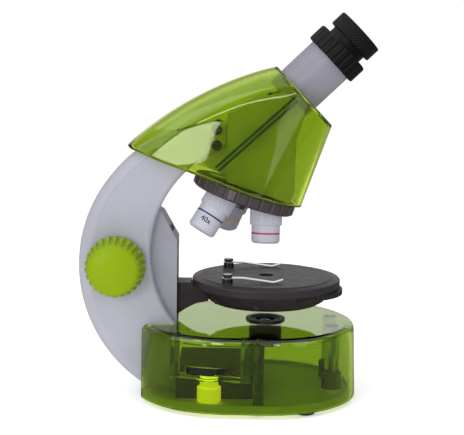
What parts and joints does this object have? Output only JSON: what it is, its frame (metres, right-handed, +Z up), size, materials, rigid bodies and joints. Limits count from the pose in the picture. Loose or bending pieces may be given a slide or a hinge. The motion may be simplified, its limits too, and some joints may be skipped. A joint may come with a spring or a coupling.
{
  "type": "kids microscope",
  "caption": "Toy compound microscope: clear lime drum base and hood, grey C arm, round black rack-driven stage, turning objective nosepiece and an inclined twist-zoom eyepiece.",
  "frame": {"origin": "on the table plane under the optical axis", "axes": "+Z up, +X from the arm towards the user and the eyepiece, -Y the side with the lamp dimmer"},
  "size_m": [0.1674, 0.1052, 0.2206],
  "materials": {
    "clear_lime": "clear, tinted lime, glossy",
    "hood_lime": "clear, tinted lime, glossy",
    "black_plastic": "moulded, satin",
    "battery_wrap": "printed sleeve",
    "contact_steel": "nickel plated",
    "rubber_black": "matte",
    "screw_steel": "zinc plated",
    "board_green": "lacquered board",
    "lamp_white": "clear epoxy dome",
    "lens_glass": "polished",
    "clear_bracket": "clear",
    "pot_lime": "moulded",
    "wire_dark": "insulated wire",
    "arm_grey": "fine satin",
    "cover_grey": "fine satin",
    "rod_steel": "ground",
    "bush_brass": "machined",
    "knob_lime": "satin",
    "stage_black": "moulded, semi-gloss",
    "wheel_black": "satin",
    "filter_tint": "clear film",
    "tube_grey": "fine satin",
    "mirror_silver": "front silvered",
    "nose_brown": "satin",
    "objective_grey": "satin",
    "eyepiece_black": "satin"
  },
  "bodies": {
    "stand": {"base_shell": "clear_lime", "base_plate": "black_plastic", "battery_box": "black_plastic", "battery_door": "black_plastic", "batteries": "battery_wrap", "battery_contacts": "contact_steel", "rubber_feet": "rubber_black", "base_screws": "screw_steel", "led_board": "board_green", "lamp": "lamp_white", "condenser_ring": "black_plastic", "condenser_lens": "lens_glass", "dimmer_bracket": "clear_bracket", "dimmer_pot": "pot_lime", "wiring": "wire_dark", "arm_left": "arm_grey", "arm_right": "arm_grey", "arm_screws": "screw_steel", "column_cover": "cover_grey", "guide_rods": "rod_steel", "focus_bushes": "bush_brass", "head_block": "tube_grey", "hood": "hood_lime", "head_screws": "black_plastic", "mirror_holder": "black_plastic", "fold_mirror": "mirror_silver", "detent_spring": "rod_steel", "nosepiece_pivot": "screw_steel", "eyepiece_tube": "tube_grey"},
    "dimmer": {"dimmer_wheel": "black_plastic"},
    "focus": {"focus_shaft": "rod_steel", "focus_pinion": "bush_brass", "knob_left": "knob_lime", "knob_right": "knob_lime"},
    "stage": {"stage_carriage": "stage_black", "stage_rack": "bush_brass", "stage_bracket": "stage_black", "stage_plate": "stage_black", "stage_cup": "stage_black", "stage_screws": "screw_steel", "clip_posts": "screw_steel", "wheel_axle": "screw_steel"},
    "clip_left": {"clip_left": "rod_steel"},
    "clip_right": {"clip_right": "rod_steel"},
    "diaphragm": {"diaphragm_wheel": "wheel_black", "colour_filters": "filter_tint"},
    "nosepiece": {"nosepiece_disc": "nose_brown", "objective_4x": "objective_grey", "objective_10x": "objective_grey", "objective_40x": "objective_grey", "objective_lenses": "lens_glass"},
    "zoom": {"zoom_ring": "eyepiece_black"},
    "eyecup": {"lens_barrel": "eyepiece_black", "eyecup": "eyepiece_black", "eye_lens": "lens_glass", "field_lens": "lens_glass"}
  },
  "joints": [
    {"name": "stage_lift", "type": "slide", "parent": "stand", "child": "stage", "axis": [0, 0, 1], "range_m": [-0.002, 0.012]},
    {"name": "focus_turn", "type": "hinge", "parent": "stand", "child": "focus", "pos_m": [-0.085, 0, 0.078], "axis": [0, 1, 0], "range_deg": [-115.5, 20]},
    {"name": "clip_left_swing", "type": "hinge", "parent": "stage", "child": "clip_left", "pos_m": [-0.022, -0.024, 0.073], "axis": [0, 0, 1], "range_deg": [-40, 40]},
    {"name": "clip_right_swing", "type": "hinge", "parent": "stage", "child": "clip_right", "pos_m": [-0.022, 0.024, 0.073], "axis": [0, 0, 1], "range_deg": [-40, 40]},
    {"name": "diaphragm_turn", "type": "hinge", "parent": "stage", "child": "diaphragm", "pos_m": [0.0165, -0.0055, 0.0632], "axis": [0, 0, 1], "continuous": true},
    {"name": "nosepiece_turn", "type": "hinge", "parent": "stand", "child": "nosepiece", "pos_m": [-0.01447, 0, 0.11427], "axis": [0.3148, 0, 0.9492], "continuous": true},
    {"name": "dimmer_turn", "type": "hinge", "parent": "stand", "child": "dimmer", "pos_m": [-0.0312, -0.0372, 0.0258], "axis": [0, 0, 1], "range_deg": [0, 270]},
    {"name": "zoom_turn", "type": "hinge", "parent": "stand", "child": "zoom", "pos_m": [0.03741, 0, 0.19772], "axis": [0.7193, 0, 0.6947], "range_deg": [-60.3, 60.3]},
    {"name": "eyecup_slide", "type": "slide", "parent": "stand", "child": "eyecup", "axis": [0.7193, 0, 0.6947], "range_m": [-0.003, 0.003]}
  ],
  "couplings": [
    {"joint": "focus_turn", "follows": "stage_lift", "rad_per_m": -166.67},
    {"joint": "zoom_turn", "follows": "eyecup_slide", "rad_per_m": 349.07}
  ]
}
